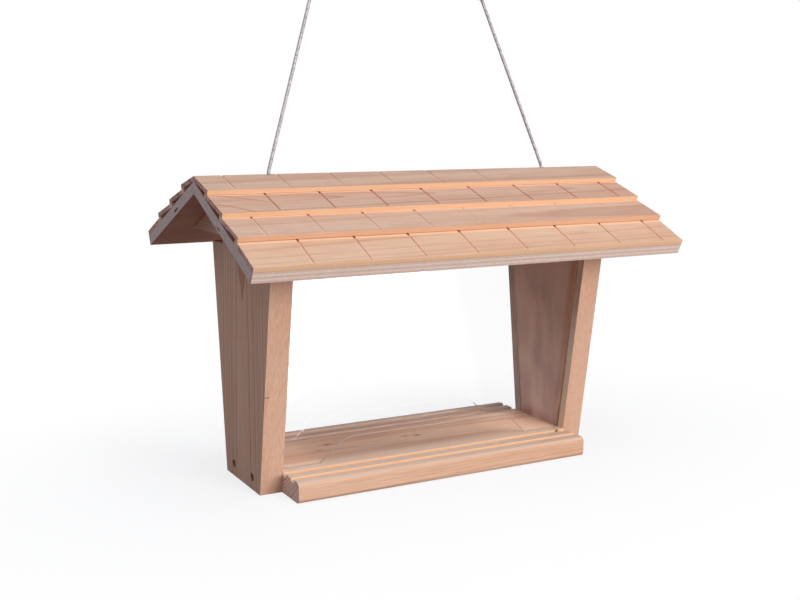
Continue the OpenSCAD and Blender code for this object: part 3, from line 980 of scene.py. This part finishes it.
def add_timber():
    for word, side in SIDES.items():
        planed(f"{word}_wall", "base", "wall_pine", wall_finish(f"{word}_wall_pine", side), WALL_EASE, 3)
        for piece in ("bearer", "gusset"):
            wood = bearer_finish(f"{word}_{piece}_pine", side)
            planed(f"{word}_roof_{piece}", "roof", "bearer_pine", wood, BEARER_EASE)
    planed("floor_board", "base", "floor_pine", floor_finish(), FLOOR_EASE)
    for word, slope in SLOPES.items():
        wood = plywood_finish(f"{word}_plywood", slope)
        planed(f"{word}_roof_panel", "roof", "plywood", wood, PANEL_EASE)
        for number in range(1, COURSES + 1):
            node = f"{word}_course_{number}"
            board = copy_node(node)
            set_cuts(board, node, number)
            ease(board, BOARD_EASE, 1)
            dress(board, tile_finish(node, word, slope, number), "roof", "tile_pine", node)


def add_panes():
    clear = clear_finish()
    for word, cover in EDGE_COVER.items():
        made = copy_node(f"{word}_pane")
        bevel(made, PANE_EASE, 1)
        dress(made, clear, f"{word}_glazing", "clear_acrylic", f"{word}_pane")
        made.data.materials.append(sawn_sheet_finish(f"{word}_pane_edge", cover))
        faces = made.data.polygons
        square_to_sheet = max(faces, key=lambda face: face.area).normal.copy()
        for face in faces:
            face.material_index = 0 if abs(face.normal.dot(square_to_sheet)) > CLEAR_WITHIN else 1


# The cross for the driver in a screw head
RECESS_W, RECESS_ARM, RECESS_DEEP = 3.4 * MM, 0.8 * MM, 1.3 * MM


def cross_recess(obj, middle):
    """Cuts a cross for the driver into a screw head."""
    for size_y, size_z in ((RECESS_W, RECESS_ARM), (RECESS_ARM, RECESS_W)):
        deselect()
        bpy.ops.mesh.primitive_cube_add(size=1, location=middle, scale=(2 * RECESS_DEEP, size_y, size_z))
        tool = bpy.context.object
        set_place(tool)
        cut_away(obj, tool)


def add_fittings():
    zinc = metal_finish("zinc_plate", rgb(196, 196, 200), rgb(160, 160, 166), 0.34)
    # The screw heads are painted dark brown, as painted shade deep in their holes.
    dark = metal_finish("shaded_screw_steel", rgb(128, 88, 72), rgb(88, 58, 46), 0.5, 0.5)
    for word, side in SIDES.items():
        for node in ("screw_eye", "roof_nails"):
            paint(f"{word}_{node}", zinc)
        screws = copy_node(f"{word}_floor_screws")
        for across in (-SCREW_ACROSS, SCREW_ACROSS):
            cross_recess(screws, (side * HEAD_X * MM, across * MM, SCREW_UP * MM))
        smooth(screws, 40)
        dress(screws, dark, "base", "zinc_steel", f"{word}_floor_screws")


# Studio

COOL_FILL = (0.84, 0.95, 1.18, 1)
FILL = 0.3
PLAIN_WHITE = (1, 1, 1, 1)

# The floor's width and how far it lies below the feeder, in metres, the ring in which its shadow fades out,
# and how white it is at least for rays that show it
STUDIO_SIZE = 12
STUDIO_DROP = 0.2 * MM
SHADOW_FROM, SHADOW_TO = 0.1, 0.34
LEAST_WHITE = 0.78

# Each lamp's place, width, power and colour, and the point that all of them face
LAMPS = {
    "front": ((0.75, -2.4, 0.75), 1.5, 51, (1, 1, 1)),
    "top": ((0.15, -1.2, 2.3), 1.5, 21, (1, 1, 1)),
    "side": ((-1.8, -0.4, 1.9), 1.8, 9, (0.84, 0.94, 1.08)),
    "rear": ((0.9, 2.5, 0.55), 1.8, 14, (1, 1, 1))}
LAMPS_FACE = (0, 0, 0.14)


def seen_rays(finish):
    """1 for rays that show the background itself, in the camera, a reflection or clear sheet."""
    kinds = ("Is Camera Ray", "Is Glossy Ray", "Is Transmission Ray")
    rays = [finish.node("ShaderNodeLightPath", {}, {}, kind) for kind in kinds]
    return rays[0].most(rays[1]).most(rays[2])


def studio_floor_finish():
    """A pale floor that keeps the shadow near the feeder, is white further off and is open from below."""
    finish = Finish("studio_floor")
    seen = seen_rays(finish)
    pale = finish.mix(seen, rgb(140, 138, 140), rgb(252, 252, 252))
    plain = finish.node("ShaderNodeBsdfDiffuse", {}, {"Color": pale})
    white = finish.node("ShaderNodeEmission", {}, {"Color": PLAIN_WHITE, "Strength": 1.0})
    from_middle = finish.length(finish.stretch(finish.place(), (0.6, 1, 1)))
    far = finish.step(from_middle, SHADOW_FROM, SHADOW_TO)
    share = seen * (LEAST_WHITE + far * (1 - LEAST_WHITE))
    ground = finish.node("ShaderNodeMixShader", {}, {0: share, 1: plain, 2: white})
    clear = finish.node("ShaderNodeBsdfTransparent", {}, {"Color": PLAIN_WHITE})
    from_below = finish.node("ShaderNodeNewGeometry", {}, {}, "Backfacing")
    return finish.end(finish.node("ShaderNodeMixShader", {}, {0: from_below, 1: ground, 2: clear}))


def add_studio():
    """The floor, a white world with a cool fill, and lamps."""
    bpy.ops.mesh.primitive_plane_add(size=STUDIO_SIZE, location=(0, 0, -STUDIO_DROP))
    floor = bpy.context.object
    floor.name = "studio_floor"
    floor.data.materials.append(studio_floor_finish())
    world = bpy.data.worlds.new("studio_world")
    bpy.context.scene.world = world
    air = Finish("studio_world", world)
    seen = seen_rays(air)
    sky = air.node("ShaderNodeBackground", {}, {
        "Color": air.mix(seen, COOL_FILL, PLAIN_WHITE), "Strength": FILL + seen * (1 - FILL)})
    air.node("ShaderNodeOutputWorld", {}, {"Surface": sky})
    for name, lamp in LAMPS.items():
        add_lamp(name, *lamp)


def add_lamp(name, place, size, power, colour):
    bpy.ops.object.light_add(type="AREA", location=place)
    lamp = bpy.context.object
    lamp.name = name
    lamp.data.shape = "DISK"
    lamp.data.size = size
    lamp.data.energy = power
    lamp.data.color = colour
    aim = Vector(LAMPS_FACE) - Vector(place)
    lamp.rotation_euler = aim.to_track_quat("-Z", "Y").to_euler()


add_camera()
add_cords()
add_timber()
add_panes()
add_fittings()
add_studio()
bpy.context.scene.view_settings.view_transform = "Standard"
